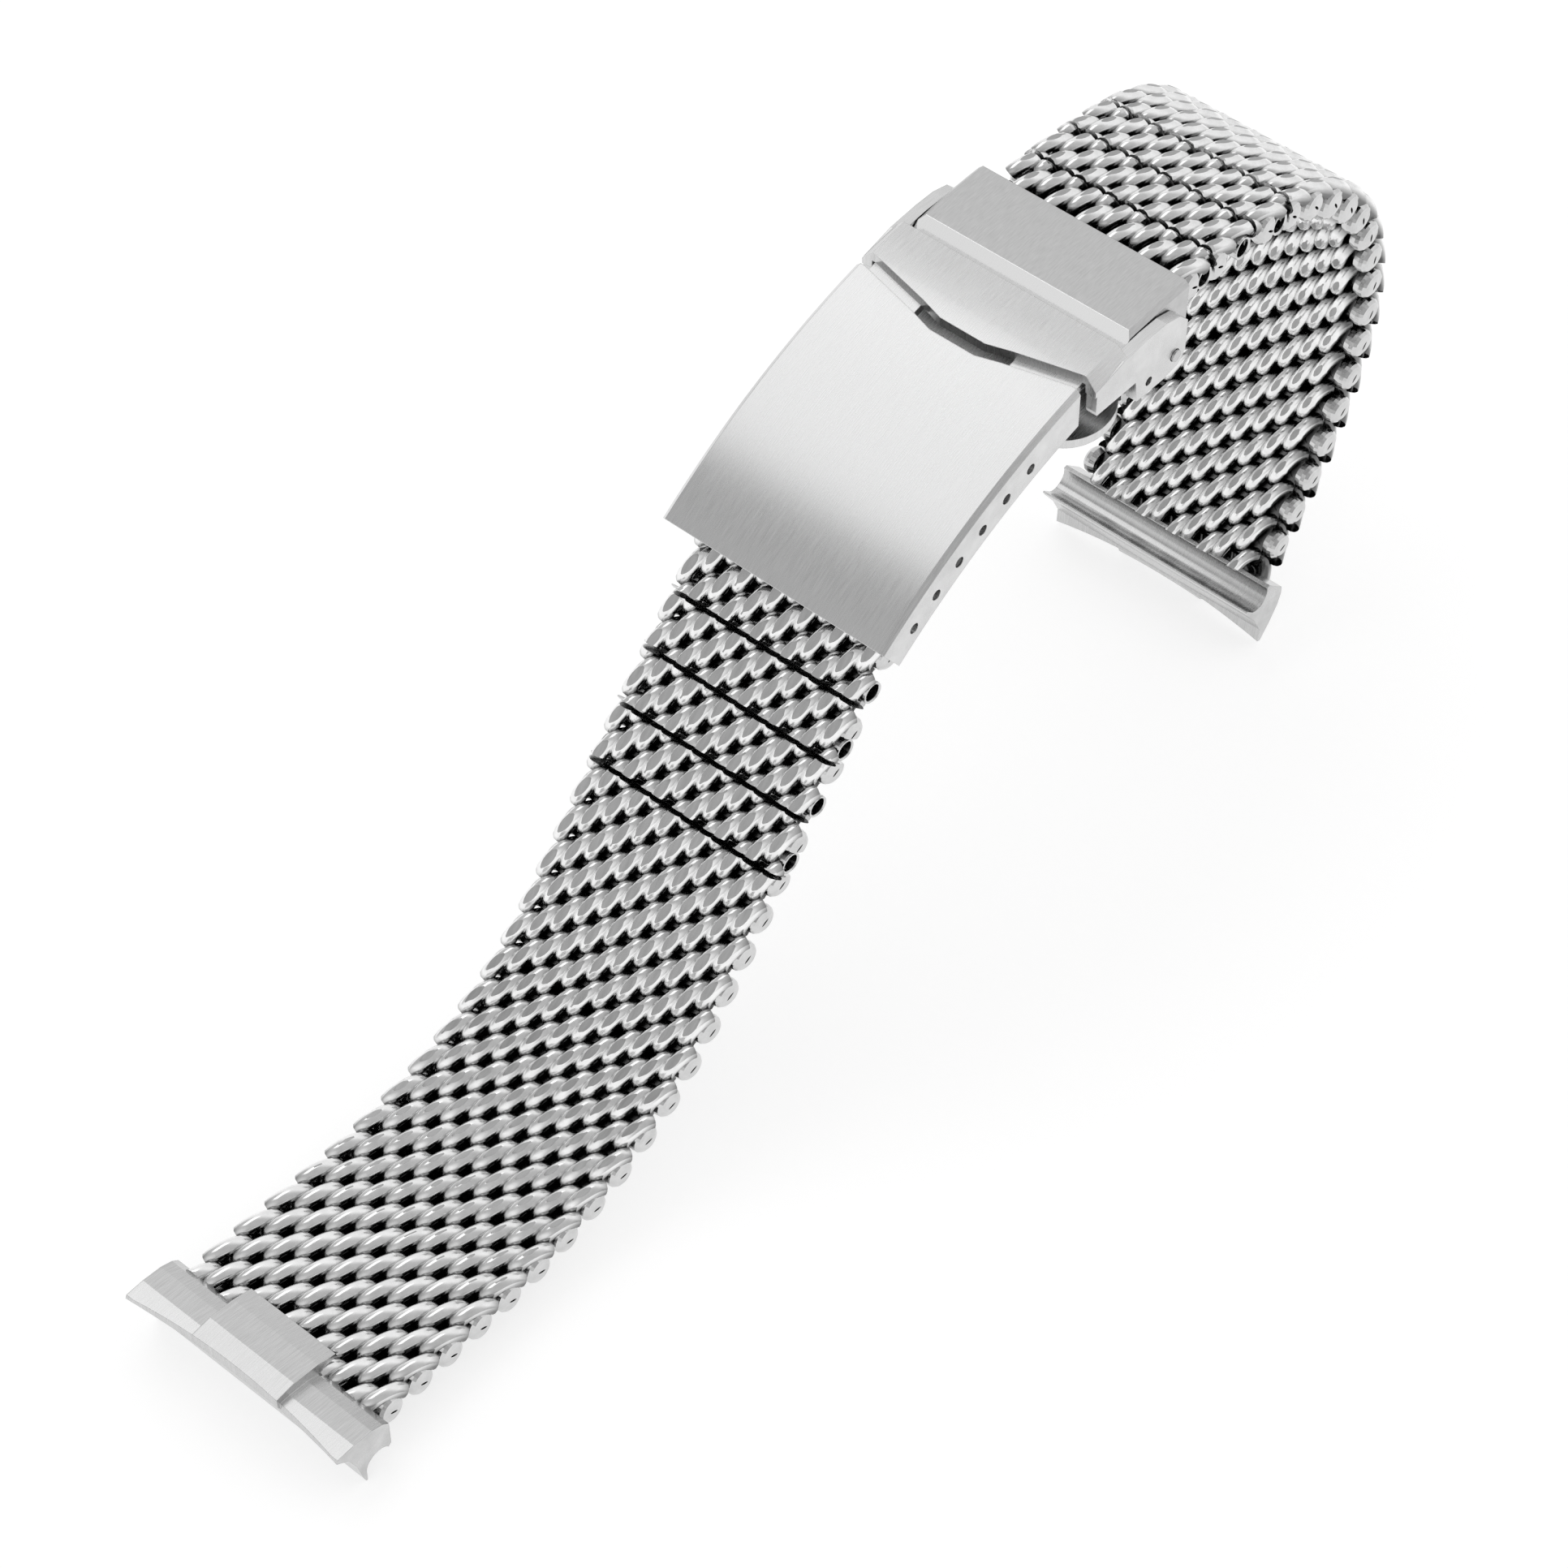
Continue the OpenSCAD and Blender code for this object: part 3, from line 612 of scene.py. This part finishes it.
woven("front_end_mesh", FRONT, "front_end", 3, 8, "tail", "slit")
woven("front_link_1", FRONT, "front_link_1", 8, 11, "slit", "slit")
woven("front_link_2", FRONT, "front_link_2", 11, 14, "slit", "slit")
woven("front_link_3", FRONT, "front_link_3", 14, 17, "slit", "slit")
woven("front_mesh_3", FRONT, "front_mesh_3", 17, 28, "slit", "woven")
woven("front_mesh_2", FRONT, "front_mesh_2", 28, 39, "woven", "woven")
woven("front_mesh_1", FRONT, "front_mesh_1", 39, 50, "woven", "weld")
woven("rear_end_mesh", REAR, "rear_end", 3, 5, "tail", "slit")
woven("rear_link_1", REAR, "rear_link_1", 5, 8, "slit", "slit")
woven("rear_link_2", REAR, "rear_link_2", 8, 11, "slit", "slit")
woven("rear_mesh_1", REAR, "rear_mesh_1", 11, 22, "slit", "woven")
woven("rear_mesh_2", REAR, "rear_mesh_2", 22, 33, "woven", "woven")
woven("rear_mesh_3", REAR, "rear_mesh_3", 33, 43, "woven", "weld")

# The finish of each CAD piece; the adjuster tips get painted shade instead.
finishes_and_shade = {
    "clasp_cover": CASE,
    "inner_blade": CASE,
    "outer_blade": CASE,
    "end_block": SATIN,
    "safety_catch": CASE,
    "front_end_link": LINK,
    "rear_end_link": LINK,
    "adjuster_tip_left": SHADED,
    "adjuster_tip_right": SHADED,
}
for name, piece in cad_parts.items():
    piece.data.materials.clear()
    piece.data.materials.append(finishes_and_shade.get(name, PLAIN))


# Floor, light and camera
FLOOR_SIZE = 6
FLOOR_GLOW = 0.66
SKY_LEVELS = [
    (0.08, 1.0),
    (0.24, 0.52),
    (0.32, 0.48),
    (0.5, 0.5),
    (0.6, 0.56),
    (0.72, 0.95),
    (1.0, 0.85),
]
LENS = 98.94
SENSOR = 36
EYE = (142.32, -167.45, 274.81)
LOOKED_AT = (-2.30, 1.64, 13.12)
ROLL = 0.143


def maths(tree, operation, first, second):
    """A node that works out operation of two sockets, or of a socket and a number."""
    made = node(tree, "ShaderNodeMath", operation=operation)
    tree.links.new(first, made.inputs[0])
    if isinstance(second, float):
        made.inputs[1].default_value = second
    else:
        tree.links.new(second, made.inputs[1])
    return made.outputs[0]


def studio_floor():
    """A grey floor that glows white to the rays that show it."""
    bpy.ops.mesh.primitive_plane_add(size=FLOOR_SIZE)
    floor = bpy.context.object
    floor.name = "studio_floor"
    mat = bpy.data.materials.new("studio_floor")
    mat.use_nodes = True
    tree = mat.node_tree
    tree.nodes.clear()
    out = node(tree, "ShaderNodeOutputMaterial")
    paint = node(tree, "ShaderNodeBsdfDiffuse", Color=(0.5, 0.5, 0.5, 1))
    glow = node(tree, "ShaderNodeEmission", Color=(1, 1, 1, 1))
    rays = node(tree, "ShaderNodeLightPath").outputs
    seen = maths(tree, "MAXIMUM", rays["Is Camera Ray"], rays["Is Glossy Ray"])
    seen = maths(tree, "MAXIMUM", seen, rays["Is Transmission Ray"])
    level = maths(tree, "MULTIPLY", seen, FLOOR_GLOW)
    tree.links.new(level, glow.inputs["Strength"])
    add = node(tree, "ShaderNodeAddShader")
    tree.links.new(paint.outputs[0], add.inputs[0])
    tree.links.new(glow.outputs[0], add.inputs[1])
    tree.links.new(add.outputs[0], out.inputs["Surface"])
    floor.data.materials.append(mat)


def studio_sky():
    """Light from all round, brighter in front and behind, and white to the camera."""
    world = bpy.data.worlds.new("studio")
    bpy.context.scene.world = world
    world.use_nodes = True
    tree = world.node_tree
    tree.nodes.clear()
    out = node(tree, "ShaderNodeOutputWorld")
    coords = node(tree, "ShaderNodeTexCoord")
    split = node(tree, "ShaderNodeSeparateXYZ")
    tree.links.new(coords.outputs["Generated"], split.inputs[0])
    half = node(tree, "ShaderNodeMath", operation="MULTIPLY_ADD")
    half.inputs[1].default_value = 0.5
    half.inputs[2].default_value = 0.5
    tree.links.new(split.outputs["Y"], half.inputs[0])
    sky = ramp(tree, half.outputs[0], SKY_LEVELS)
    rays = node(tree, "ShaderNodeLightPath")
    factor, before, after, result = mix_node(tree, "RGBA")
    tree.links.new(rays.outputs["Is Camera Ray"], factor)
    tree.links.new(sky, before)
    after.default_value = (1, 1, 1, 1)
    glow = node(tree, "ShaderNodeBackground", Strength=1.0)
    tree.links.new(result, glow.inputs["Color"])
    tree.links.new(glow.outputs[0], out.inputs["Surface"])


def lamp(name, place, target, size, power):
    data = bpy.data.lights.new(name, "AREA")
    data.shape = "RECTANGLE"
    data.size, data.size_y = size
    data.energy = power
    made = bpy.data.objects.new(name, data)
    bpy.context.scene.collection.objects.link(made)
    made.location = place
    aim = Vector(target) - Vector(place)
    made.rotation_euler = aim.to_track_quat("-Z", "Y").to_euler()


def photo_camera():
    """The camera, solved from the photograph."""
    data = bpy.data.cameras.new("photo_view")
    made = bpy.data.objects.new("photo_view", data)
    bpy.context.scene.collection.objects.link(made)
    data.lens = LENS
    data.sensor_width = SENSOR
    data.clip_start = 0.01
    made.location = Vector(EYE) * MM
    aim = Vector(LOOKED_AT) * MM - made.location
    turned = aim.to_track_quat("-Z", "Y").to_matrix().to_4x4()
    made.matrix_world = (
        Matrix.Translation(made.location) @ turned @ Matrix.Rotation(radians(ROLL), 4, "Z")
    )
    bpy.context.scene.camera = made


studio_floor()
studio_sky()
lamp("overhead", (-0.27, -0.01, 0.58), (0, 0, 0.03), (0.42, 0.3), 0.385)
photo_camera()

scene = bpy.context.scene
scene.view_settings.view_transform = "Standard"
